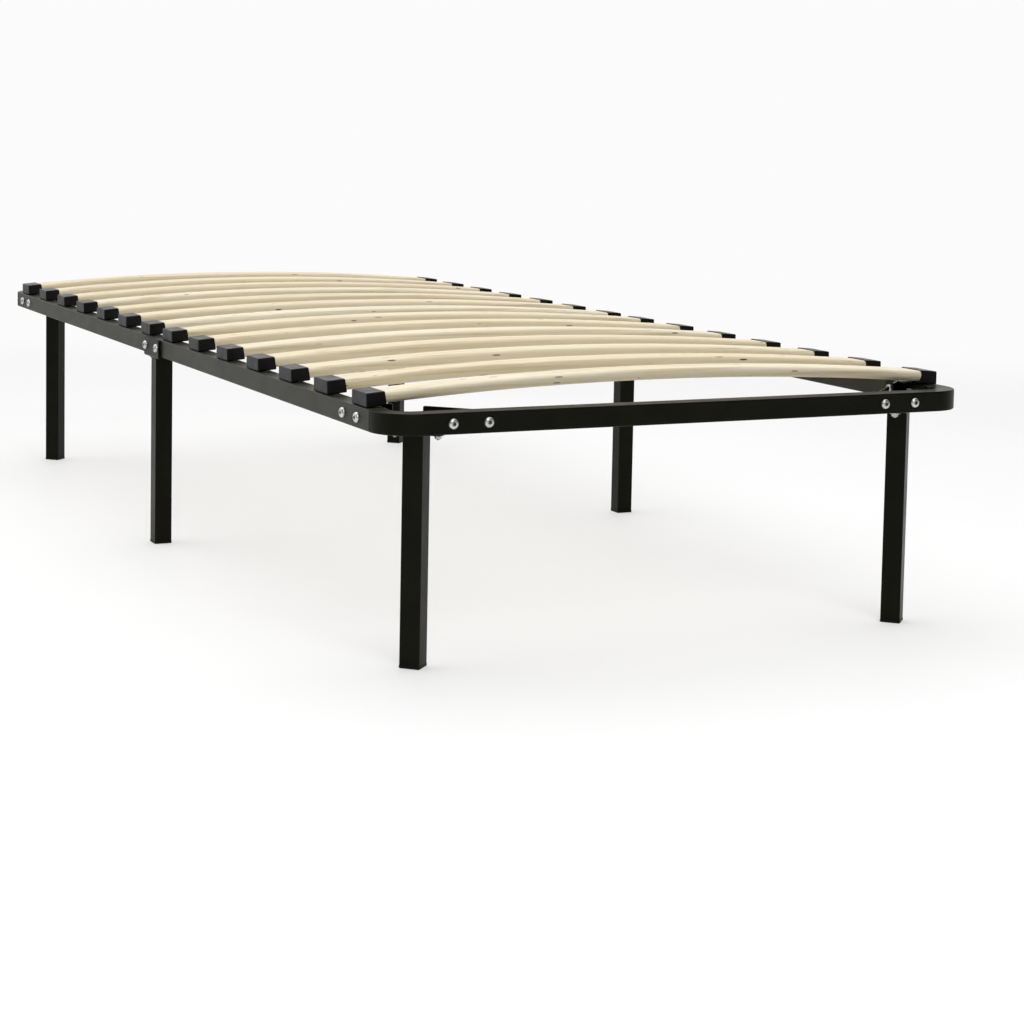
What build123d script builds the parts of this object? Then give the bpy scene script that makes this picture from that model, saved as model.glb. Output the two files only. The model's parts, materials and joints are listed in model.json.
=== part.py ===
from build123d import *
import math
import os

# A single bed base: a bolted ring of square steel tube on six legs, carrying
# fourteen bowed slats in plastic end holders.
# Millimetres. +X is the bed's right side seen from the foot, +Y runs from the
# foot end to the head end, +Z is up. The origin is on the floor under the centre.

# ---- overall size ----
LENGTH = 2000.0
WIDTH = 900.0
HEIGHT = 380.0  # floor to the crown of the slats

# ---- steel tube ----
TUBE = 28.5  # outside of the square tube, rails and legs alike
WALL = 1.5
TUBE_EDGE = 2.0  # outside radius of the tube's long edges
CORNER_R = 52.0  # outside radius of the end rails' bends
SEAM_GAP = 1.8
SEAM = CORNER_R + 1.0  # where an end rail meets a side rail, from the end face

# ---- slats ----
SLATS_PER_HALF = 7
SLAT_PITCH = 140.0
SLAT_FIRST = 98.0  # centre of the first slat from the end face
SLAT_W = 50.0
SLAT_T = 15.0
SLAT_EDGE = 7.0
SLAT_BOW = 19.5  # rise of the middle over the ends
SLAT_END = 5.5  # slat end, in from the frame's side face

# ---- slat holders ----
CAP_WALL_END = 2.5
CAP_LEN = 29.0
CAP_W = 54.0  # at the bottom
CAP_BELOW = 2.4  # walls under and over the slat
CAP_ABOVE = 1.3
CAP_H = CAP_BELOW + SLAT_T + CAP_ABOVE
CAP_DRAFT = 4.5  # degrees, narrowing upwards
CAP_EDGE = 1.6
POCKET_PLAY = 0.2
FOOT_IN = 6.0  # holder foot, from the frame's side face
FOOT_LEN = 14.0
FOOT_W = 20.0
PEG_D = 8.0
PEG_LEN = 8.0

# ---- bolts of the frame, M8 button heads with hexagon sockets ----
BOLT_D = 8.0
HEAD_D = 14.0
HEAD_H = 4.4
SOCKET_AF = 5.0
SOCKET_DEPTH = 2.6
NUT_AF = 13.0
NUT_H = 6.5
BOLT_TAIL = 2.0  # thread standing out of the nut
HOLE_PLAY = 0.4
BOLT_FROM_END = (94.0, 144.0)  # from the outer face of the neighbouring rail
MID_BOLT = 30.0  # from mid-length

# ---- corner bracket ----
PLATE = 3.0
WING_FROM = 62.0
WING_TO = 160.0
WEB_AT = 160.0  # the web stands where the two distances from the outer faces add up to this
WEB_DROP = 0.5  # web top under the rail top
WING_DROP = 1.0
NOTCH_A = 84.5  # notch in the web's top, as distances from the frame's side face
NOTCH_B = 54.0
NOTCH_DEPTH = 15.0
NOTCH_EDGE = 2.0

# ---- corner legs, turned 45 degrees ----
LEG_X = 72.5  # leg centre, from the side face
LEG_Y = 67.5  # leg centre, from the end face
EAR_LEN = 78.0
EAR_W = 34.0
EAR_T = 3.0
EAR_BOLT = 30.0  # from the leg centre
EAR_EDGE = 5.0

# ---- small M5 bolts that hold the corner legs ----
SMALL_D = 5.0
SMALL_AF = 8.0
SMALL_HEAD_H = 3.5
SMALL_NUT_H = 4.0
SMALL_TAIL = 1.5
WASHER_D = 16.0
WASHER_T = 1.5

# ---- middle legs ----
SADDLE_LEN = 80.0
SADDLE_T = 3.5
SADDLE_PLAY = 1.0
SADDLE_EDGE = 6.0

# ---- plastic plugs in the leg ends ----
PLUG_FLANGE = 3.5
PLUG_OVER = 0.4  # flange outside the tube, each side
PLUG_DEPTH = 18.0
PLUG_PLAY = 0.1
PLUG_RIB = 2.0

# ---- levels and places that follow ----
CAP_STAND = 10.3  # centre of a slat's end over the rail top
RAIL_TOP = HEIGHT - SLAT_T / 2 - SLAT_BOW - CAP_STAND
RAIL_BOTTOM = RAIL_TOP - TUBE
RAIL_MID_Z = RAIL_TOP - TUBE / 2
HALF_W = WIDTH / 2
HALF_L = LENGTH / 2
RAIL_X = HALF_W - TUBE / 2
END_RAIL_Y = HALF_L - TUBE / 2
FLANGE_BOTTOM = RAIL_BOTTOM - PLATE
EAR_BOTTOM = FLANGE_BOTTOM - EAR_T
SLAT_HALF = HALF_W - SLAT_END
SLAT_R = (SLAT_HALF**2 + SLAT_BOW**2) / (2 * SLAT_BOW)
SLAT_TILT = math.degrees(math.asin(SLAT_HALF / SLAT_R))

os.makedirs("parts", exist_ok=True)


def save(name, *solids):
    """Writes one node, with each of its solids kept separate."""
    shape = solids[0] if len(solids) == 1 else Compound(children=list(solids))
    shape.label = name
    export_step(shape, f"parts/{name}.step")


def block(x, y, z):
    """A box between two corners, each given as a (low, high) pair per axis."""
    size = [high - low for low, high in (x, y, z)]
    middle = [(high + low) / 2 for low, high in (x, y, z)]
    return Pos(*middle) * Box(*size)


def mirror_x(shape):
    return mirror(shape, about=Plane.YZ)


def mirror_y(shape):
    return mirror(shape, about=Plane.XZ)


def at_corners(shape):
    """The foot-left shape and its images at the other corners, with the corners' names."""
    foot_right = mirror_x(shape)
    return {
        "foot_left": shape,
        "foot_right": foot_right,
        "head_left": mirror_y(shape),
        "head_right": mirror_y(foot_right),
    }


def corner_point(across, along):
    """A foot-left point, from its distances to the outer side face and end face."""
    return (-HALF_W + across, -HALF_L + along)


def tube_section(plane):
    outer = plane * RectangleRounded(TUBE, TUBE, TUBE_EDGE)
    inner = plane * RectangleRounded(TUBE - 2 * WALL, TUBE - 2 * WALL, TUBE_EDGE - WALL)
    return outer, inner


def swept_tube(path):
    """Square tube along a path that starts in a straight run."""
    outer, inner = tube_section(Plane(path @ 0, z_dir=path % 0, x_dir=(0, 0, 1)))
    return sweep(outer, path=path) - sweep(inner, path=path)


def cross_hole(x, y, z, diameter, direction):
    """A long drill for a hole right through a tube or a plate."""
    drill = Cylinder(diameter / 2, 4 * TUBE)
    turn = {"x": Rot(0, 90, 0), "y": Rot(90, 0, 0), "z": Rot(0, 0, 0)}[direction]
    return Pos(x, y, z) * turn * drill


# ---- end rails ----
def end_rail():
    """The foot end: a straight run and a bend at each side, up to the seams."""
    bend = CORNER_R - TUBE / 2
    end = -HALF_L + SEAM - SEAM_GAP / 2
    middle_line = FilletPolyline(
        (-RAIL_X, end, RAIL_MID_Z),
        (-RAIL_X, -END_RAIL_Y, RAIL_MID_Z),
        (RAIL_X, -END_RAIL_Y, RAIL_MID_Z),
        (RAIL_X, end, RAIL_MID_Z),
        radius=bend,
    )
    rail = swept_tube(middle_line)
    for from_side in BOLT_FROM_END:
        for side in (-1, 1):
            x = side * (HALF_W - from_side)
            rail -= cross_hole(x, -END_RAIL_Y, RAIL_MID_Z, BOLT_D + HOLE_PLAY, "y")
    return rail


# ---- side rails ----
def slat_places():
    """The y of each slat's centre, from the foot end to the head end."""
    foot_half = [-HALF_L + SLAT_FIRST + i * SLAT_PITCH for i in range(SLATS_PER_HALF)]
    return foot_half + [-y for y in reversed(foot_half)]


def side_rail():
    """The left rail's foot half, with its holes for the holders' pegs and the bolts."""
    start = -HALF_L + SEAM + SEAM_GAP / 2
    middle_line = Line((-RAIL_X, start, RAIL_MID_Z), (-RAIL_X, -SEAM_GAP / 2, RAIL_MID_Z))
    rail = swept_tube(middle_line)
    for y in slat_places()[:SLATS_PER_HALF]:
        peg_hole = Pos(-RAIL_X, y, RAIL_TOP) * Cylinder((PEG_D + HOLE_PLAY) / 2, TUBE / 2)
        rail -= peg_hole
    for y in [-HALF_L + d for d in BOLT_FROM_END] + [-MID_BOLT]:
        rail -= cross_hole(-RAIL_X, y, RAIL_MID_Z, BOLT_D + HOLE_PLAY, "x")
    return rail


# ---- corner brackets ----
def upright_plate(start, end, low, high, thickness, side):
    """A vertical plate whose face runs from start to end; side says where it thickens."""
    dx, dy = end[0] - start[0], end[1] - start[1]
    run = math.hypot(dx, dy)
    nx, ny = -dy / run * thickness * side, dx / run * thickness * side
    outline = Polyline(
        start, end, (end[0] + nx, end[1] + ny), (start[0] + nx, start[1] + ny), close=True
    )
    return Pos(0, 0, low) * extrude(make_face(outline), amount=high - low)


def corner_bracket():
    """Two wings bolted inside the rails, a web across them and a flange for the leg."""
    inner = TUBE
    wing_face = inner + PLATE
    end_wing = upright_plate(
        corner_point(WING_FROM, inner), corner_point(WING_TO, inner),
        FLANGE_BOTTOM, RAIL_TOP - WING_DROP, PLATE, 1,
    )
    side_wing = upright_plate(
        corner_point(inner, WING_FROM), corner_point(inner, WING_TO),
        FLANGE_BOTTOM, RAIL_TOP - WING_DROP, PLATE, -1,
    )
    reach = WEB_AT - inner
    web = upright_plate(
        corner_point(reach, inner), corner_point(inner, reach),
        FLANGE_BOTTOM, RAIL_TOP - WEB_DROP, PLATE, -1,
    )
    web -= web_notch()
    flange_outline = Polyline(
        corner_point(wing_face, WING_FROM),
        corner_point(WING_FROM, wing_face),
        corner_point(WEB_AT - wing_face, wing_face),
        corner_point(wing_face, WEB_AT - wing_face),
        close=True,
    )
    flange = Pos(0, 0, FLANGE_BOTTOM) * extrude(make_face(flange_outline), amount=PLATE)
    wing_feet = block(
        (-HALF_W + inner, -HALF_W + wing_face),
        (-HALF_L + inner, -HALF_L + wing_face),
        (FLANGE_BOTTOM, FLANGE_BOTTOM + PLATE),
    )
    bracket = end_wing + side_wing + web + flange
    bracket -= wing_feet
    hole = BOLT_D + HOLE_PLAY
    for distance in BOLT_FROM_END:
        x, y = corner_point(distance, distance)
        bracket -= cross_hole(x, -END_RAIL_Y, RAIL_MID_Z, hole, "y")
        bracket -= cross_hole(-RAIL_X, y, RAIL_MID_Z, hole, "x")
    for x, y in ear_bolt_places():
        bracket -= cross_hole(x, y, FLANGE_BOTTOM, SMALL_D + HOLE_PLAY, "z")
    return bracket


def web_notch():
    """The cut-out in the web's top edge, over the leg, with rounded lips."""
    width = (NOTCH_A - NOTCH_B) * math.sqrt(2)
    across = (NOTCH_A + NOTCH_B) / 2
    x, y = corner_point(across, WEB_AT - across)
    profile = Rectangle(width, 2 * NOTCH_DEPTH)
    profile = fillet(profile.vertices(), radius=NOTCH_EDGE * 2)
    lips = Rectangle(width + 2 * NOTCH_EDGE, 2 * NOTCH_EDGE)
    rounds = Locations((-width / 2 - NOTCH_EDGE, -NOTCH_EDGE), (width / 2 + NOTCH_EDGE, -NOTCH_EDGE))
    lips -= rounds * Circle(NOTCH_EDGE)
    facing = Plane(
        origin=(x, y, RAIL_TOP - WEB_DROP), x_dir=(1, -1, 0), z_dir=(-1, -1, 0)
    )
    return extrude(facing * (profile + lips), amount=4 * PLATE, both=True)


def ear_bolt_places():
    """Both small bolts of the foot-left leg, on the diagonal through its centre."""
    step = EAR_BOLT / math.sqrt(2)
    return [corner_point(LEG_X + s * step, LEG_Y - s * step) for s in (1, -1)]


# ---- legs ----
def leg_tube(x, y, top, turn):
    """A square tube standing on its plug's flange."""
    outer, inner = tube_section(Plane.XY)
    height = top - PLUG_FLANGE
    tube = extrude(outer, amount=height) - extrude(inner, amount=height)
    return Pos(x, y, PLUG_FLANGE) * Rot(0, 0, turn) * tube


def corner_leg():
    """The foot-left leg with the plate welded on its top."""
    x, y = corner_point(LEG_X, LEG_Y)
    ear = RectangleRounded(EAR_LEN, EAR_W, EAR_EDGE)
    ear = Pos(x, y, EAR_BOTTOM) * Rot(0, 0, -45) * extrude(ear, amount=EAR_T)
    for bolt_x, bolt_y in ear_bolt_places():
        ear -= cross_hole(bolt_x, bolt_y, EAR_BOTTOM, SMALL_D + HOLE_PLAY, "z")
    return leg_tube(x, y, EAR_BOTTOM, 45) + ear


def middle_leg():
    return leg_tube(-RAIL_X, 0, RAIL_BOTTOM - SADDLE_T, 0)


def middle_saddle():
    """The U-shaped bracket that joins both halves of the left rail over the leg."""
    out = TUBE / 2 + SADDLE_PLAY + SADDLE_T
    room = TUBE / 2 + SADDLE_PLAY
    low = RAIL_BOTTOM - SADDLE_T
    saddle = block((-out, out), (-SADDLE_LEN / 2, SADDLE_LEN / 2), (low, RAIL_TOP))
    saddle -= block((-room, room), (-SADDLE_LEN, SADDLE_LEN), (RAIL_BOTTOM, RAIL_TOP + SADDLE_LEN))
    upper = saddle.edges().filter_by(Axis.X).group_by(Axis.Z)[-1]
    saddle = fillet(upper, radius=SADDLE_EDGE)
    lower = saddle.edges().filter_by(Axis.Y).group_by(Axis.Z)[0]
    saddle = fillet(lower, radius=SADDLE_T - 0.5)
    saddle = Pos(-RAIL_X, 0, 0) * saddle
    for y in (-MID_BOLT, MID_BOLT):
        saddle -= cross_hole(-RAIL_X, y, RAIL_MID_Z, BOLT_D + HOLE_PLAY, "x")
    return saddle


def leg_plug(x, y, turn):
    """A foot: a thin flange under the tube and a hollow ribbed stem inside it."""
    over = TUBE + 2 * PLUG_OVER
    flange = extrude(RectangleRounded(over, over, TUBE_EDGE + PLUG_OVER), amount=PLUG_FLANGE)
    flange = chamfer(flange.faces().sort_by(Axis.Z)[0].edges(), length=0.6)
    stem_w = TUBE - 2 * WALL - 2 * PLUG_PLAY
    stem = RectangleRounded(stem_w, stem_w, TUBE_EDGE - WALL)
    stem -= Rectangle(stem_w - 2 * PLUG_RIB, stem_w - 2 * PLUG_RIB)
    stem += Rectangle(stem_w - PLUG_RIB, PLUG_RIB)
    stem += Rectangle(PLUG_RIB, stem_w - PLUG_RIB)
    stem = Pos(0, 0, PLUG_FLANGE) * extrude(stem, amount=PLUG_DEPTH)
    return Pos(x, y, 0) * Rot(0, 0, turn) * (flange + stem)


# ---- slats and their holders ----
def slat():
    """One bowed slat across the bed, at y = 0."""
    ends = RAIL_TOP + CAP_STAND
    arc = ThreePointArc(
        (-SLAT_HALF, 0, ends), (0, 0, ends + SLAT_BOW), (SLAT_HALF, 0, ends)
    )
    section = Plane(arc @ 0, z_dir=arc % 0, x_dir=(0, 1, 0)) * RectangleRounded(
        SLAT_W, SLAT_T, SLAT_EDGE
    )
    return sweep(section, path=arc)


def slat_cap():
    """The left holder of a slat at y = 0: a shell round the slat's end on a pegged foot."""
    base = RectangleRounded(CAP_LEN, CAP_W, CAP_EDGE * 1.5)
    base = Pos(CAP_LEN / 2 - CAP_WALL_END, 0, -SLAT_T / 2 - CAP_BELOW) * base
    shell = extrude(base, amount=CAP_H, taper=CAP_DRAFT)
    levels = shell.edges().group_by(Axis.Z)
    shell = fillet(levels[0] + levels[-1], radius=CAP_EDGE)
    pocket = Plane.YZ * RectangleRounded(
        SLAT_W + 2 * POCKET_PLAY, SLAT_T + 2 * POCKET_PLAY, SLAT_EDGE
    )
    place = Pos(-SLAT_HALF, 0, RAIL_TOP + CAP_STAND) * Rot(0, -SLAT_TILT, 0)
    shell = place * shell
    low = -HALF_W + FOOT_IN
    foot = block(
        (low, low + FOOT_LEN), (-FOOT_W / 2, FOOT_W / 2), (RAIL_TOP, RAIL_TOP + CAP_STAND)
    )
    foot = fillet(foot.edges().filter_by(Axis.Z), radius=CAP_EDGE * 2)
    peg = Pos(-RAIL_X, 0, RAIL_TOP - PEG_LEN / 2) * Cylinder(PEG_D / 2, PEG_LEN)
    peg = chamfer(peg.edges().group_by(Axis.Z)[0], length=1)
    cap = shell + foot + peg
    return cap - place * extrude(pocket, amount=CAP_LEN)


# ---- fasteners ----
def hexagon(across_flats, height):
    return extrude(RegularPolygon(across_flats / math.sqrt(3), 6), amount=height)


def button_bolt(grip):
    """Head on the XY plane pointing up +Z, shank down through the grip and the nut."""
    head = Cylinder(HEAD_D / 2, HEAD_H, align=(Align.CENTER, Align.CENTER, Align.MIN))
    head = fillet(head.edges().group_by(Axis.Z)[-1], radius=HEAD_H * 0.75)
    head -= Pos(0, 0, HEAD_H - SOCKET_DEPTH) * hexagon(SOCKET_AF, SOCKET_DEPTH)
    length = grip + NUT_H + BOLT_TAIL
    shank = Cylinder(BOLT_D / 2, length, align=(Align.CENTER, Align.CENTER, Align.MAX))
    return head + chamfer(shank.edges().group_by(Axis.Z)[0], length=1)


def nut():
    """A nut on the XY plane, rising along +Z."""
    body = hexagon(NUT_AF, NUT_H)
    round_body = Cylinder(NUT_AF * 0.57, NUT_H, align=(Align.CENTER, Align.CENTER, Align.MIN))
    round_body = chamfer(round_body.edges(), length=0.9)
    bore = Cylinder(BOLT_D / 2 + 0.05, 3 * NUT_H)
    return (body & round_body) - bore


FACING = {
    "foot": Rot(90, 0, 0),  # turns +Z to -Y
    "head": Rot(-90, 0, 0),
    "left": Rot(0, -90, 0),  # turns +Z to -X
    "right": Rot(0, 90, 0),
}


def bolt_and_nut(x, y, side, head_out, grip):
    """A bolt whose head's face is at x, y on the given side, and its nut inside."""
    inward = {"foot": (0, 1), "head": (0, -1), "left": (1, 0), "right": (-1, 0)}[side]
    opposite = {"foot": "head", "head": "foot", "left": "right", "right": "left"}[side]
    seat_x, seat_y = x - inward[0] * head_out, y - inward[1] * head_out
    nut_x, nut_y = seat_x + inward[0] * grip, seat_y + inward[1] * grip
    bolt = Pos(seat_x, seat_y, RAIL_MID_Z) * FACING[side] * button_bolt(grip)
    return bolt, Pos(nut_x, nut_y, RAIL_MID_Z) * FACING[opposite] * nut()


def frame_fasteners():
    """All the frame's bolts, by where they go, and their nuts."""
    groups = {"end_rail_bolts": [], "side_rail_bolts": [], "middle_bolts": []}
    nuts = []
    rail_grip = TUBE + PLATE
    for distance in BOLT_FROM_END:
        for sx in (-1, 1):
            for sy, end in ((-1, "foot"), (1, "head")):
                side = "left" if sx < 0 else "right"
                x, y = sx * (HALF_W - distance), sy * HALF_L
                bolt, its_nut = bolt_and_nut(x, y, end, 0, rail_grip)
                groups["end_rail_bolts"].append(bolt)
                nuts.append(its_nut)
                x, y = sx * HALF_W, sy * (HALF_L - distance)
                bolt, its_nut = bolt_and_nut(x, y, side, 0, rail_grip)
                groups["side_rail_bolts"].append(bolt)
                nuts.append(its_nut)
    out = SADDLE_PLAY + SADDLE_T
    for sx, side in ((-1, "left"), (1, "right")):
        for y in (-MID_BOLT, MID_BOLT):
            bolt, its_nut = bolt_and_nut(sx * HALF_W, y, side, out, TUBE + 2 * out)
            groups["middle_bolts"].append(bolt)
            nuts.append(its_nut)
    groups["frame_nuts"] = nuts
    return groups


def leg_fasteners():
    """The small bolts, washers and nuts that hang the corner legs on their brackets."""
    bolts, washers, nuts = [], [], []
    length = PLATE + EAR_T + WASHER_T + SMALL_NUT_H + SMALL_TAIL
    for x, y in ear_bolt_places():
        head = Pos(x, y, RAIL_BOTTOM) * hexagon(SMALL_AF, SMALL_HEAD_H)
        shank = Pos(x, y, RAIL_BOTTOM - length / 2) * Cylinder(SMALL_D / 2, length)
        washer = Cylinder(WASHER_D / 2, WASHER_T) - Cylinder(SMALL_D / 2 + 0.15, WASHER_T)
        small_nut = hexagon(SMALL_AF, SMALL_NUT_H) - Cylinder(SMALL_D / 2 + 0.05, 4 * SMALL_NUT_H)
        bolts.append(head + shank)
        washers.append(Pos(x, y, EAR_BOTTOM - WASHER_T / 2) * washer)
        nuts.append(Pos(x, y, EAR_BOTTOM - WASHER_T - SMALL_NUT_H) * small_nut)
    groups = {}
    for name, solids in (("bolts", bolts), ("washers", washers), ("nuts", nuts)):
        groups[f"leg_plate_{name}"] = [s for one in solids for s in at_corners(one).values()]
    return groups


# ---- the nodes ----
foot_rail = end_rail()
save("foot_end_rail", foot_rail)
save("head_end_rail", mirror_y(foot_rail))
for corner, shape in at_corners(side_rail()).items():
    end, side = corner.split("_")
    save(f"side_rail_{side}_{end}", shape)
for corner, shape in at_corners(corner_bracket()).items():
    save(f"corner_bracket_{corner}", shape)
for corner, shape in at_corners(corner_leg()).items():
    save(f"corner_leg_{corner}", shape)
for corner, shape in at_corners(leg_plug(*corner_point(LEG_X, LEG_Y), 45)).items():
    save(f"leg_plug_{corner}", shape)

for side, turned in (("left", False), ("right", True)):
    middle_pieces = {
        "middle_leg": middle_leg(),
        "middle_bracket": middle_saddle(),
        "leg_plug_middle": leg_plug(-RAIL_X, 0, 0),
    }
    for name, shape in middle_pieces.items():
        save(f"{name}_{side}", mirror_x(shape) if turned else shape)

one_slat = slat()
left_cap = slat_cap()
right_cap = mirror_x(left_cap)
for number, y in enumerate(slat_places(), start=1):
    save(f"slat_{number:02d}", Pos(0, y, 0) * one_slat)
    save(f"slat_caps_{number:02d}", Pos(0, y, 0) * left_cap, Pos(0, y, 0) * right_cap)

for name, solids in {**frame_fasteners(), **leg_fasteners()}.items():
    save(name, *solids)
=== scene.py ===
import json
import math
import random

import bmesh
import bpy
from mathutils import Matrix, Vector


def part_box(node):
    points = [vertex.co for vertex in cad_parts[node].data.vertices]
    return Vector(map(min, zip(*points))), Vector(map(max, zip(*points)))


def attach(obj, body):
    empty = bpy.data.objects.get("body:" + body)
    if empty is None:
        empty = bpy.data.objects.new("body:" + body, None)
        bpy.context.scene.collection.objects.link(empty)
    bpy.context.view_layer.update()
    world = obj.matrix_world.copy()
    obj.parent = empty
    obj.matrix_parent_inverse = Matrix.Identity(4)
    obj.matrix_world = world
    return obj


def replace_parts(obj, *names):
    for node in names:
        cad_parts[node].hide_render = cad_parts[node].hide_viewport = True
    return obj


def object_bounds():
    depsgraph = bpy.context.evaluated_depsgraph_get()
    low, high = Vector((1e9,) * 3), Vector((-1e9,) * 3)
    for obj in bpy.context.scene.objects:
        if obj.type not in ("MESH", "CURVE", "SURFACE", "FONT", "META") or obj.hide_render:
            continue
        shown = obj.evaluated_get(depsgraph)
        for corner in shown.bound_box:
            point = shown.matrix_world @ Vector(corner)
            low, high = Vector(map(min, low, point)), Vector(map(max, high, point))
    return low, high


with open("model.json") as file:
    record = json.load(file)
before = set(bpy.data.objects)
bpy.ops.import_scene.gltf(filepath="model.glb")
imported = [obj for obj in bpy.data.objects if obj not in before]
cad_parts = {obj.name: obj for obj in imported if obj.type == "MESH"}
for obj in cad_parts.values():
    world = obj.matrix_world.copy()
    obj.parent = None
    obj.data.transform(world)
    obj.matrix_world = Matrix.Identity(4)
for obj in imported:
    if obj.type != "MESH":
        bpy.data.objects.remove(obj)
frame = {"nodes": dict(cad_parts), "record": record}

# Looks for a single bed base: black powder-coated tube, bowed birch slats in
# plastic holders, zinc-plated bolts. Metres, in the CAD model's own frame.

cad_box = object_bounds()
nodes = frame["nodes"]
random.seed(14)

# ---- camera, fitted to points on the frame, legs, bolts and holders ----
CAMERA_AT = (-1.5269, -3.5951, 0.7231)
CAMERA_YAW = math.radians(25.73)  # to the right of +Y
CAMERA_DOWN = math.radians(4.907)
CAMERA_ROLL = math.radians(1.119)
CAMERA_LENS = 79.28
CAMERA_SENSOR = 36
CAMERA_SHIFT_Y = -0.2

# ---- M8 button bolts and their nuts ----
HEAD_H = 0.0044
HEAD_R = 0.007
HEAD_FLAT = 0.52  # share of the head's radius that is flat round the socket
HEAD_RIM = 0.2  # share of the head's height where the dome starts
SOCKET_AF = 0.005
SOCKET_DEPTH = 0.0034
SOCKET_POINT = 0.0006  # depth and radius of the drill point in the socket's floor
SOCKET_MOUTH = 0.0005  # how much wider the socket is at its mouth
EDGE_BREAK = 0.0003
DOME_STEPS = 8
SHANK_R = 0.004
PITCH = 0.00125
THREAD_LENGTH = 0.012
NUT_AF = 0.013
NUT_BORE = SHANK_R * 1.0125

# ---- M5 bolts and nuts of the corner legs ----
SMALL_AF = 0.008
SMALL_SHANK_R = 0.0025
SMALL_PITCH = 0.0008
SMALL_HEAD_H = 0.0035
SMALL_PLAIN = 0.0035  # length of shank without a thread
SMALL_BORE = SMALL_SHANK_R * 1.02

# ---- all fasteners ----
ROUND = 72  # points round a turned piece
THREAD_DEPTH = 0.55  # in pitches
THREAD_STEPS = 8  # rings to a pitch
COUNTERSINK = 0.12  # share of a nut's bore
# A hexagon's corners, turned off near its end: share of the height, then the largest
# radius there as a share of the width across flats.
CORNER_TURN = ((0.0, 0.475), (0.03, 0.5), (0.07, 0.53), (0.14, 0.58))

# ---- slats ----
SLAT_T = 0.015
PLY = 0.0015
SLAT_TONES = (20, 2.9, 5.9)  # offset between the bed's halves, and what scatters the tones
PALE = (0.84, 0.785, 0.63, 1)
HONEY = (0.78, 0.665, 0.455, 1)
TAN = (0.48, 0.385, 0.215, 1)
GLUE_LINE = (0.30, 0.20, 0.10, 1)
KNOT = (0.07, 0.04, 0.02, 1)

# ---- welds ----
TUBE_HALF = 0.01425
PLATE_T = 0.003
BEAD_R = 0.0024
BEAD_RIPPLE = 0.0022  # length of one ripple
BEAD_DIP = 0.14  # share of the bead's radius lost between ripples
BEAD_UNEVEN = 0.02
BEAD_STEP = 0.0008
BEAD_POINTS = 12
TUBE_CORNER = 0.002

# ---- studio ----
FLOOR_SIZE = 30
BACKDROP = 0.97  # brightness of the background
FLOOR_FADE = (1.7, 3.6)  # distances over which the floor turns into the background
FLOOR_LIFT = 0.4  # share of the background in the floor under the bed
WORLD_SLOPE = (-0.35, 0.55, 0.06, 1.05)  # from and to in direction y, and the strengths there
LIT_POINT = (0, 0, 0.3)  # what both lights face

# ---- finishes ----
SHARP = math.radians(32)  # an edge that turns by less is shaded smooth
WARM_SHEEN = (1.0, 1.0, 0.8, 1.0)  # tint of the coats' reflections


# ---------------------------------------------------------------- materials
class Recipe:
    """A material's nodes, added one call at a time round a Principled shader."""

    def __init__(self, name, settings):
        self.material = bpy.data.materials.new(name)
        self.material.use_nodes = True
        self.tree = self.material.node_tree
        self.shader = self.tree.nodes["Principled BSDF"]
        for socket, value in settings.items():
            self.shader.inputs[socket].default_value = value

    def feed(self, socket, value):
        if isinstance(value, bpy.types.NodeSocket):
            self.tree.links.new(value, socket)
        else:
            socket.default_value = value

    def add(self, kind, inputs, **settings):
        node = self.tree.nodes.new("ShaderNode" + kind)
        for name, value in settings.items():
            setattr(node, name, value)
        for socket, value in inputs.items():
            self.feed(node.inputs[socket], value)
        return node

    def place(self, stretch=(1, 1, 1)):
        """Object coordinates in metres, multiplied per axis."""
        place = self.add("TexCoord", {}).outputs["Object"]
        return self.add("Mapping", {"Vector": place, "Scale": stretch}).outputs["Vector"]

    def noise(self, vector, scale, detail=2.0, distortion=0.0):
        inputs = {"Vector": vector, "Scale": scale, "Detail": detail, "Distortion": distortion}
        return self.add("TexNoise", inputs).outputs["Fac"]

    def math(self, operation, a, b=0.0):
        return self.add("Math", {0: a, 1: b}, operation=operation).outputs[0]

    def span(self, value, low, high, to_low=0.0, to_high=1.0):
        """Maps low..high to to_low..to_high, clamped and eased."""
        inputs = {"Value": value, "From Min": low, "From Max": high, "To Min": to_low, "To Max": to_high}
        return self.add("MapRange", inputs, interpolation_type="SMOOTHSTEP").outputs["Result"]

    def mix(self, factor, a, b):
        return self.add("Mix", {0: factor, 6: a, 7: b}, data_type="RGBA").outputs[2]

    def bump(self, height, distance, normal=None):
        inputs = {"Height": height, "Distance": distance, "Strength": 1.0}
        if normal:
            inputs["Normal"] = normal
        return self.add("Bump", inputs).outputs["Normal"]

    def finish(self, colour, roughness, normal):
        self.feed(self.shader.inputs["Base Color"], colour)
        self.feed(self.shader.inputs["Roughness"], roughness)
        self.feed(self.shader.inputs["Normal"], normal)
        return self.material


def powder_coat(name, dark, light, sheen_level, rough):
    """Black powder coat: fine orange peel, faint mottling, an olive tint."""
    m = Recipe(name, {"Specular IOR Level": sheen_level, "Specular Tint": WARM_SHEEN})
    mottle = m.noise(m.place(), 26, detail=5)
    peel = m.noise(m.place(), 620, detail=3)
    grain = m.noise(m.place(), 2600, detail=1)
    shade, glow = (dark, dark, dark * 0.65, 1), (light, light, light * 0.6, 1)
    colour = m.mix(m.span(mottle, 0.3, 0.7), shade, glow)
    roughness = m.span(mottle, 0.25, 0.75, rough - 0.05, rough + 0.05)
    roughness = m.math("ADD", roughness, m.span(grain, 0.3, 0.7, -0.03, 0.05))
    normal = m.bump(grain, 0.00002, m.bump(peel, 0.00009))
    return m.finish(colour, roughness, normal)


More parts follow.
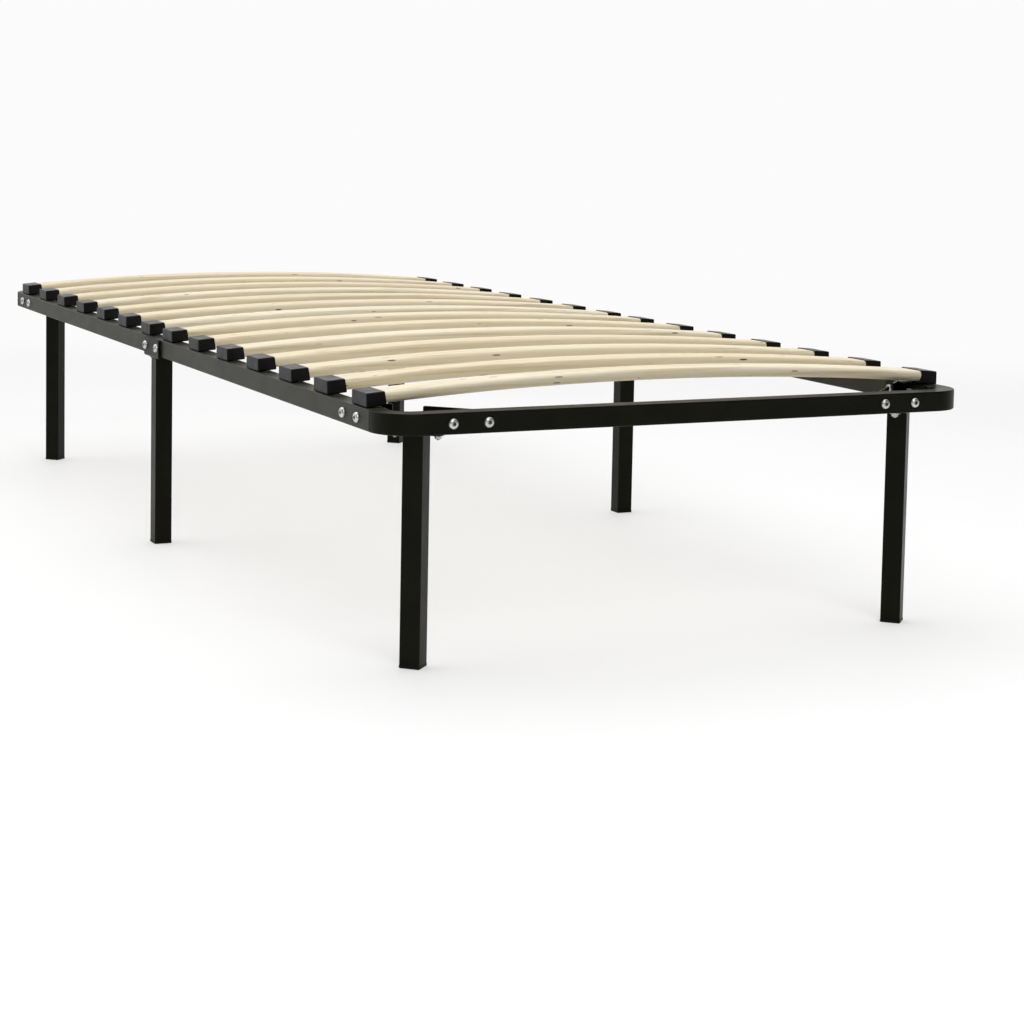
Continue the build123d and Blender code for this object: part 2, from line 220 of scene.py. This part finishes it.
def moulded_plastic(name, light, rough):
    """Black plastic from a spark-eroded mould: very fine grain, soft gloss changes."""
    m = Recipe(name, {"Specular IOR Level": 0.15})
    cloud = m.noise(m.place(), 60, detail=3)
    grain = m.noise(m.place(), 2200, detail=2)
    dark = (light * 0.7, light * 0.7, light * 0.72, 1)
    colour = m.mix(m.span(cloud, 0.3, 0.7), dark, (light, light, light * 1.03, 1))
    roughness = m.span(cloud, 0.3, 0.7, rough - 0.05, rough + 0.05)
    roughness = m.math("ADD", roughness, m.span(grain, 0.3, 0.7, -0.04, 0.04))
    return m.finish(colour, roughness, m.bump(grain, 0.00004))


def zinc(name, bright, rough):
    """Zinc plating with a faint crystalline patchiness and fine scratches."""
    m = Recipe(name, {"Metallic": 1.0})
    patches = m.add("TexVoronoi", {"Vector": m.place(), "Scale": 900}).outputs["Color"]
    patch = m.add("SeparateColor", {"Color": patches}).outputs[0]
    scratches = m.noise(m.place((400, 400, 6000)), 1, detail=2)
    cloud = m.noise(m.place(), 180, detail=3)
    dull = bright * 0.78
    colour = m.mix(m.span(cloud, 0.3, 0.7), (dull, dull, dull, 1), (bright, bright, bright * 0.98, 1))
    roughness = m.math("ADD", m.span(patch, 0, 1, rough, rough + 0.07), m.span(cloud, 0.3, 0.7, 0, 0.08))
    return m.finish(colour, roughness, m.bump(scratches, 0.00001))


def slat_depth(m, low, high, across, up):
    """Depth below the crown face of a slat, measured across its bow."""
    half = (high.x - low.x) / 2
    bow = high.z - low.z - SLAT_T
    radius = (half**2 + bow**2) / (2 * bow) + SLAT_T / 2
    rise = m.math("SUBTRACT", up, high.z - radius)
    squares = m.math("ADD", m.math("MULTIPLY", across, across), m.math("MULTIPLY", rise, rise))
    return m.math("SUBTRACT", radius, m.math("SQRT", squares))


def slat_layers(m, depth):
    """Each ply's own tone, and the glue line over it."""
    plies = m.math("ADD", m.math("DIVIDE", depth, PLY), 0.35)
    wander = m.noise(m.place((3, 40, 40)), 1, detail=2)
    plies = m.math("ADD", plies, m.span(wander, 0.2, 0.8, -0.12, 0.12))
    layer = m.math("FLOOR", plies)
    tone = m.add("TexWhiteNoise", {"W": layer}, noise_dimensions="1D").outputs["Value"]
    glue = m.span(m.math("FRACT", plies), 0.0, 0.12, 1, 0)
    return tone, glue


def slat_sides(m, low, high, along):
    """How near a slat's side is, and each slat's own tone. The bed's halves mirror each other."""
    first = -(low.y + high.y) / 2
    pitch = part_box("slat_02")[0].y - low.y
    width = (high.y - low.y) / 2
    inward = m.math("SUBTRACT", first + pitch / 2, m.math("ABSOLUTE", along))
    offset = m.math("SUBTRACT", m.math("FLOORED_MODULO", inward, pitch), pitch / 2)
    edge = m.span(m.math("ABSOLUTE", offset), width - SLAT_T * 0.3, width, 0, 1)
    half_offset, turn, stretch = SLAT_TONES
    half_of_bed = m.math("MULTIPLY", m.math("SIGN", along), half_offset)
    slat = m.math("ADD", m.math("FLOOR", m.math("DIVIDE", inward, pitch)), half_of_bed)
    swing = m.math("SINE", m.math("MULTIPLY", slat, turn))
    return edge, m.math("FRACT", m.math("MULTIPLY", swing, stretch))


def cathedral_bands(m):
    """The broad, wavy bands of flat-cut veneer."""
    wave = {"Vector": m.place((0.9, 30, 30)), "Scale": 1.3}
    wander = {"Distortion": 7.0, "Detail": 3.0, "Detail Scale": 0.8}
    return m.add("TexWave", wave | wander, bands_direction="Y").outputs["Fac"]


def small_knots(m):
    """Short dark dashes along the grain, some faint and some strong."""
    cells = m.add("TexVoronoi", {"Vector": m.place((24, 140, 140)), "Scale": 1.0})
    chance = m.add("SeparateColor", {"Color": cells.outputs["Color"]})
    spot = m.span(cells.outputs["Distance"], 0.14, 0.19, 1, 0)
    knot = m.math("MULTIPLY", spot, m.span(chance.outputs[0], 0.84, 0.85))
    return m.math("MULTIPLY", knot, m.span(chance.outputs[1], 0.0, 0.8, 0.5, 1))


def birch():
    """Bowed birch plywood: grain along the slat, plies on the rounded sides, small knots."""
    m = Recipe("birch_plywood", {"Specular IOR Level": 0.3})
    low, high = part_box("slat_01")
    place = m.add("SeparateXYZ", {"Vector": m.place()})
    across, along, up = (place.outputs[axis] for axis in "XYZ")
    depth = slat_depth(m, low, high, across, up)
    # painted shade: the slat turns tan with depth below its crown, most on its underside
    under = m.span(depth, SLAT_T * 0.15, SLAT_T, 0, 1)
    tone, glue = slat_layers(m, depth)
    edge, each = slat_sides(m, low, high, along)
    bands = cathedral_bands(m)
    streaks = m.noise(m.place((2.0, 170, 170)), 1, detail=4, distortion=0.4)
    fibres = m.noise(m.place((14, 1500, 1500)), 1, detail=2)
    knot = small_knots(m)

    colour = m.mix(m.span(bands, 0.15, 0.95, 0.0, 0.35), PALE, HONEY)
    colour = m.mix(m.math("MULTIPLY", each, 0.9), colour, HONEY)
    colour = m.mix(m.math("MULTIPLY", edge, 0.2), colour, TAN)
    # painted shade on the slat's lower half and underside
    colour = m.mix(m.math("MULTIPLY", under, 0.4), colour, TAN)
    colour = m.mix(m.span(streaks, 0.50, 0.66, 0.0, 0.6), colour, TAN)
    colour = m.mix(m.span(fibres, 0.35, 0.75, 0.0, 0.2), colour, TAN)
    colour = m.mix(m.math("MULTIPLY", tone, 0.25), colour, HONEY)
    colour = m.mix(m.math("MULTIPLY", m.math("MULTIPLY", glue, edge), 0.5), colour, GLUE_LINE)
    colour = m.mix(knot, colour, KNOT)

    rough = m.math("ADD", m.span(streaks, 0.3, 0.8, 0.55, 0.68), m.math("MULTIPLY", knot, 0.1))
    relief = m.math("SUBTRACT", fibres, m.math("MULTIPLY", glue, 0.8))
    return m.finish(colour, rough, m.bump(relief, 0.00005))


def floor_finish():
    """A pale floor with some glow of its own, which meets the white background without a line."""
    m = Recipe("pale_floor", {"Specular IOR Level": 0.2})
    cloud = m.noise(m.place(), 2, detail=3)
    colour = m.mix(m.span(cloud, 0.3, 0.7), (0.93, 0.93, 0.93, 1), (0.95, 0.95, 0.95, 1))
    material = m.finish(colour, 0.6, m.bump(cloud, 0.0001))
    apart = m.add("VectorMath", {0: m.place()}, operation="LENGTH").outputs["Value"]
    seen = m.add("LightPath", {}).outputs["Is Camera Ray"]
    fade = m.math("MULTIPLY", m.span(apart, FLOOR_FADE[0], FLOOR_FADE[1], FLOOR_LIFT, 1), seen)
    glow = m.add("Emission", {"Color": (1, 1, 1, 1), "Strength": BACKDROP}).outputs[0]
    blend = m.add("MixShader", {0: fade, 1: m.shader.outputs[0], 2: glow}).outputs[0]
    m.feed(m.tree.nodes["Material Output"].inputs["Surface"], blend)
    return material


FINISHES = {
    "black_powder_coat": powder_coat(
        "black_powder_coat", dark=0.0022, light=0.0050, sheen_level=0.10, rough=0.36
    ),
    "birch_plywood": birch(),
    "holder_plastic": moulded_plastic("holder_plastic", light=0.006, rough=0.36),
    "foot_plastic": moulded_plastic("foot_plastic", light=0.006, rough=0.52),
    "zinc_plated_steel": zinc("zinc_plated_steel", bright=0.66, rough=0.27),
}
# a darker copy of the zinc for the insides of the sockets: painted shade
SOCKET_PAINTED_SHADE = zinc("zinc_socket_painted_shade", bright=0.15, rough=0.45)
# a satin copy of the black coat for the side rails, its colour lighter as painted light
SIDE_RAIL_LIT_COAT = powder_coat(
    "satin_coat_painted_lighter", dark=0.014, light=0.023, sheen_level=0.17, rough=0.40
)


def dress_cad_nodes():
    """Every CAD node takes its material slot's finish; the side rails take a satin copy of the coat
    whose lighter colour is painted light.
    """
    for entry in frame["record"]["subparts"]:
        finish = FINISHES[entry["material_slot"]]
        if entry["node"].startswith("side_rail_") and not entry["node"].endswith("bolts"):
            finish = SIDE_RAIL_LIT_COAT
        for slot in nodes[entry["node"]].material_slots:
            slot.material = finish


# ---------------------------------------------------------------- mesh tools
def add_piece(name, shape, slot, body="frame"):
    """Turns a bmesh into a piece of the object that rides on a body.

    Faces of material index 1 are the inside of a socket and take a darker zinc: painted shade.
    """
    bmesh.ops.recalc_face_normals(shape, faces=shape.faces)
    for face in shape.faces:
        face.smooth = True
    for edge in shape.edges:
        edge.smooth = edge.calc_face_angle(0) < SHARP
    mesh = bpy.data.meshes.new(name)
    shape.to_mesh(mesh)
    shape.free()
    mesh.materials.append(FINISHES[slot])
    if any(polygon.material_index for polygon in mesh.polygons):
        mesh.materials.append(SOCKET_PAINTED_SHADE)
    piece = bpy.data.objects.new(name, mesh)
    bpy.context.scene.collection.objects.link(piece)
    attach(piece, body)
    return piece


def loft(shape, rings, closed=False, socket=0):
    """Skins rings of equally many points. An open loft gets a face on each end.

    The first bands, as many as socket says, are the inside of a socket and take its painted shade.
    """
    made = [[shape.verts.new(point) for point in ring] for ring in rings]
    count = len(made[0])
    pairs = list(zip(made, made[1:] + made[:1])) if closed else list(zip(made, made[1:]))
    for band, (one, two) in enumerate(pairs):
        for i in range(count):
            j = (i + 1) % count
            face = shape.faces.new((one[i], one[j], two[j], two[i]))
            face.material_index = int(band < socket)
    if not closed:
        shape.faces.new(made[0])
        shape.faces.new(reversed(made[-1]))


def solids_of(node):
    """The low and high corner of each separate solid in a CAD node, in order of place."""
    shape = bmesh.new()
    shape.from_mesh(nodes[node].data)
    bmesh.ops.remove_doubles(shape, verts=shape.verts, dist=1e-6)
    left = set(shape.verts)
    boxes = []
    while left:
        reached, waiting = set(), [left.pop()]
        while waiting:
            vert = waiting.pop()
            reached.add(vert)
            for edge in vert.link_edges:
                other = edge.other_vert(vert)
                if other in left:
                    left.remove(other)
                    waiting.append(other)
        points = [vert.co.copy() for vert in reached]
        boxes.append([Vector([pick(p[i] for p in points) for i in range(3)]) for pick in (min, max)])
    shape.free()
    return sorted(boxes, key=lambda box: tuple(box[0]))


# ---------------------------------------------------------------- fasteners
def hex_radius(across, angle):
    """Distance from a hexagon's middle to its side, at an angle."""
    sixth = math.pi / 3
    return across / 2 / math.cos((angle + sixth / 2) % sixth - sixth / 2)


def ring(place, z, radius):
    """One ring of a turned piece. radius is a number or a function of the angle."""
    points = []
    for i in range(ROUND):
        angle = 2 * math.pi * i / ROUND
        r = radius(angle) if callable(radius) else radius
        points.append(place @ Vector((r * math.cos(angle), r * math.sin(angle), z)))
    return points


def hexagon(across, most=math.inf):
    """A hexagon's radius by angle, cut back where a cone would turn its corners off."""
    return lambda angle: min(hex_radius(across, angle), most)


def thread(place, start, end, radius, pitch):
    """Rings of a helical thread from z = start down to z = end, with a chamfered tip."""
    depth = THREAD_DEPTH * pitch
    rings = []
    steps = max(2, math.ceil((start - end) / pitch * THREAD_STEPS))
    for k in range(steps + 1):
        z = start + (end - start) * k / steps
        tip = max(0.0, 1 - (z - end) / pitch)

        def crest(angle, z=z, tip=tip):
            turn = (z / pitch - angle / (2 * math.pi)) % 1
            cut = depth * (1 - abs(2 * turn - 1))
            return radius - max(cut, depth * 1.2 * tip)

        rings.append(ring(place, z, crest))
    return rings


def outward(position, out):
    """The frame of a fastener whose seat is at position and whose head points out."""
    turn = Vector((0, 0, 1)).rotation_difference(out).to_matrix().to_4x4()
    return Matrix.Translation(position) @ turn


def button_bolt(shape, place, length):
    """A domed head with a hexagon socket over a shank with its thread at the tip."""
    flat_r = HEAD_R * HEAD_FLAT
    rings = [ring(place, HEAD_H - SOCKET_DEPTH - SOCKET_POINT, SOCKET_POINT)]
    rings.append(ring(place, HEAD_H - SOCKET_DEPTH, hexagon(SOCKET_AF)))
    rings.append(ring(place, HEAD_H - EDGE_BREAK, hexagon(SOCKET_AF)))
    rings.append(ring(place, HEAD_H, hexagon(SOCKET_AF + SOCKET_MOUTH)))
    rings.append(ring(place, HEAD_H, flat_r))
    rim = HEAD_H * HEAD_RIM
    for k in range(1, DOME_STEPS + 1):
        swing = math.pi / 2 * k / DOME_STEPS
        r = flat_r + (HEAD_R - flat_r) * math.sin(swing)
        rings.append(ring(place, rim + (HEAD_H - rim) * math.cos(swing), r))
    rings.append(ring(place, 0.0002, HEAD_R))
    rings.append(ring(place, 0, HEAD_R - EDGE_BREAK))
    rings.append(ring(place, 0, SHANK_R))
    rings += thread(place, -length + THREAD_LENGTH, -length, SHANK_R, PITCH)
    loft(shape, rings, socket=2)


def hex_bolt(shape, place, length):
    """A small bolt: a hexagon head with turned corners and a full thread."""
    rings = [ring(place, SMALL_HEAD_H, SMALL_AF * 0.44)]
    for down, most in CORNER_TURN:
        rings.append(ring(place, SMALL_HEAD_H * (1 - down), hexagon(SMALL_AF, SMALL_AF * most)))
    rings.append(ring(place, 0, hexagon(SMALL_AF)))
    rings.append(ring(place, 0, SMALL_SHANK_R))
    rings += thread(place, -SMALL_PLAIN, -length, SMALL_SHANK_R, SMALL_PITCH)
    loft(shape, rings)


def nut(shape, place, across, height, bore):
    """A hexagon nut with turned corners at both ends and a countersunk bore."""
    rings = []
    for down, most in CORNER_TURN:
        rings.append(ring(place, height * down, hexagon(across, across * most)))
    for down, most in reversed(CORNER_TURN):
        rings.append(ring(place, height * (1 - down), hexagon(across, across * most)))
    sink = bore * COUNTERSINK
    rings.append(ring(place, height, bore + sink))
    rings.append(ring(place, height - sink, bore))
    rings.append(ring(place, sink, bore))
    rings.append(ring(place, 0, bore + sink))
    loft(shape, rings, closed=True)


def frame_bolts(node, axis):
    """All the button bolts of a CAD node, whose heads face out along one axis."""
    shape = bmesh.new()
    for low, high in solids_of(node):
        out = Vector((0, 0, 0))
        out[axis] = math.copysign(1, (low + high)[axis])
        seat = (low + high) / 2
        tip = high[axis] if out[axis] > 0 else low[axis]
        seat[axis] = tip - out[axis] * HEAD_H
        length = high[axis] - low[axis] - HEAD_H
        button_bolt(shape, outward(seat, out), length)
    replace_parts(add_piece(f"detailed_{node}", shape, "zinc_plated_steel"), node)


def frame_nuts():
    """The nuts of the button bolts, on the inner side of the rails and brackets."""
    shape = bmesh.new()
    for low, high in solids_of("frame_nuts"):
        size = high - low
        axis = 0 if size.x < size.y else 1
        out = Vector((0, 0, 0))
        out[axis] = 1
        seat = (low + high) / 2
        seat[axis] = low[axis]
        nut(shape, outward(seat, out), NUT_AF, size[axis], NUT_BORE)
    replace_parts(add_piece("detailed_frame_nuts", shape, "zinc_plated_steel"), "frame_nuts")


def leg_fasteners():
    """The small bolts and nuts that hold the corner legs' plates."""
    bolts, nuts = bmesh.new(), bmesh.new()
    up = Vector((0, 0, 1))
    for low, high in solids_of("leg_plate_bolts"):
        seat = (low + high) / 2
        seat.z = high.z - SMALL_HEAD_H
        hex_bolt(bolts, outward(seat, up), high.z - low.z - SMALL_HEAD_H)
    for low, high in solids_of("leg_plate_nuts"):
        seat = (low + high) / 2
        seat.z = low.z
        nut(nuts, outward(seat, up), SMALL_AF, high.z - low.z, SMALL_BORE)
    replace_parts(add_piece("detailed_leg_plate_bolts", bolts, "zinc_plated_steel"), "leg_plate_bolts")
    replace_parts(add_piece("detailed_leg_plate_nuts", nuts, "zinc_plated_steel"), "leg_plate_nuts")


# ---------------------------------------------------------------- welds
def bead_round_tube(shape, centre, turn):
    """A rippled fillet weld round the top of a square leg tube."""
    side = 2 * (TUBE_HALF - TUBE_CORNER)
    lap = 4 * side + 2 * math.pi * TUBE_CORNER
    steps = 4 * round(lap / 4 / BEAD_STEP)
    spin = Matrix.Rotation(turn, 3, "Z")
    rings = []
    for k in range(steps):
        along = lap * k / steps
        point, normal = tube_edge(along, side, TUBE_CORNER)
        ripple = abs(math.sin(math.pi * along / BEAD_RIPPLE))
        uneven = random.uniform(-BEAD_UNEVEN, BEAD_UNEVEN)
        r = BEAD_R * (1 - BEAD_DIP + BEAD_DIP * ripple + uneven)
        points = []
        for i in range(BEAD_POINTS):
            angle = 2 * math.pi * i / BEAD_POINTS
            offset = normal * (r * math.cos(angle)) + Vector((0, 0, r * math.sin(angle)))
            points.append(centre + spin @ (point + offset))
        rings.append(points)
    loft(shape, rings, closed=True)


def tube_edge(along, side, corner):
    """A point on a rounded square's outline and its outward normal, by distance along it."""
    quarter = side + math.pi * corner / 2
    which, along = divmod(along, quarter)
    spin = Matrix.Rotation(which * math.pi / 2, 3, "Z")
    if along < side:
        point, normal = Vector((TUBE_HALF, along - side / 2, 0)), Vector((1, 0, 0))
    else:
        angle = (along - side) / corner
        normal = Vector((math.cos(angle), math.sin(angle), 0))
        point = Vector((side / 2, side / 2, 0)) + normal * corner
    return spin @ point, spin @ normal


def leg_welds():
    """The beads under the corner legs' plates and under the middle brackets."""
    shape = bmesh.new()
    for end in ("foot", "head"):
        for side in ("left", "right"):
            low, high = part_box(f"corner_leg_{end}_{side}")
            centre = (low + high) / 2
            centre.z = high.z - PLATE_T
            bead_round_tube(shape, centre, math.radians(45))
    for side in ("left", "right"):
        low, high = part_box(f"middle_leg_{side}")
        centre = (low + high) / 2
        centre.z = high.z
        bead_round_tube(shape, centre, 0)
    add_piece("leg_weld_beads", shape, "black_powder_coat")


# ---------------------------------------------------------------- studio
def add_floor():
    bpy.ops.mesh.primitive_plane_add(size=FLOOR_SIZE, location=(0, 0, cad_box[0].z))
    floor = bpy.context.object
    floor.name = "studio_floor"
    floor.data.materials.append(floor_finish())


def add_light(name, at, size, power):
    """A rectangular soft light, its power in watts."""
    data = bpy.data.lights.new(name, "AREA")
    data.shape = "RECTANGLE"
    data.size, data.size_y = size
    data.energy = power
    light = bpy.data.objects.new(name, data)
    bpy.context.scene.collection.objects.link(light)
    light.location = at
    light.rotation_euler = (Vector(LIT_POINT) - Vector(at)).to_track_quat("-Z", "Y").to_euler()


def add_world():
    """White to the eye. What lights the bed is bright behind its head end and dim before its foot."""
    world = bpy.data.worlds.new("studio")
    world.use_nodes = True
    bpy.context.scene.world = world
    tree = world.node_tree
    place = tree.nodes.new("ShaderNodeTexCoord").outputs["Generated"]
    split = tree.nodes.new("ShaderNodeSeparateXYZ")
    bright = tree.nodes.new("ShaderNodeMapRange")
    bright.interpolation_type = "SMOOTHSTEP"
    for socket, value in zip(("From Min", "From Max", "To Min", "To Max"), WORLD_SLOPE):
        bright.inputs[socket].default_value = value
    lit = tree.nodes["Background"]
    lit.inputs["Color"].default_value = (1, 1, 1, 1)
    seen = tree.nodes.new("ShaderNodeBackground")
    seen.inputs["Color"].default_value = (1, 1, 1, 1)
    seen.inputs["Strength"].default_value = BACKDROP
    path = tree.nodes.new("ShaderNodeLightPath")
    choose = tree.nodes.new("ShaderNodeMixShader")
    tree.links.new(place, split.inputs[0])
    tree.links.new(split.outputs["Y"], bright.inputs["Value"])
    tree.links.new(bright.outputs["Result"], lit.inputs["Strength"])
    tree.links.new(path.outputs["Is Camera Ray"], choose.inputs["Fac"])
    tree.links.new(lit.outputs[0], choose.inputs[1])
    tree.links.new(seen.outputs[0], choose.inputs[2])
    tree.links.new(choose.outputs[0], tree.nodes["World Output"].inputs["Surface"])


def add_lights():
    add_light("overhead", at=(-0.2, 0.3, 3.4), size=(4.5, 5.0), power=95)
    add_light("front", at=(-0.8, -5.0, 3.2), size=(3.5, 2.0), power=110)


def add_camera():
    """The camera at the fitted place, turned by yaw, then down, then roll."""
    forward = Vector((
        math.sin(CAMERA_YAW) * math.cos(CAMERA_DOWN),
        math.cos(CAMERA_YAW) * math.cos(CAMERA_DOWN),
        -math.sin(CAMERA_DOWN),
    ))
    right = Vector((math.cos(CAMERA_YAW), -math.sin(CAMERA_YAW), 0))
    up = right.cross(forward)
    tilted_right = right * math.cos(CAMERA_ROLL) + up * math.sin(CAMERA_ROLL)
    tilted_up = up * math.cos(CAMERA_ROLL) - right * math.sin(CAMERA_ROLL)
    data = bpy.data.cameras.new("camera")
    data.lens = CAMERA_LENS
    data.sensor_width = CAMERA_SENSOR
    data.shift_y = CAMERA_SHIFT_Y
    camera = bpy.data.objects.new("camera", data)
    bpy.context.scene.collection.objects.link(camera)
    turn = Matrix((tilted_right, tilted_up, -forward)).transposed().to_4x4()
    camera.matrix_world = Matrix.Translation(CAMERA_AT) @ turn
    bpy.context.scene.camera = camera


# ---------------------------------------------------------------- the scene
dress_cad_nodes()
frame_bolts("end_rail_bolts", axis=1)
frame_bolts("side_rail_bolts", axis=0)
frame_bolts("middle_bolts", axis=0)
frame_nuts()
leg_fasteners()
leg_welds()
add_floor()
add_world()
add_lights()
add_camera()
bpy.context.scene.view_settings.view_transform = "Standard"
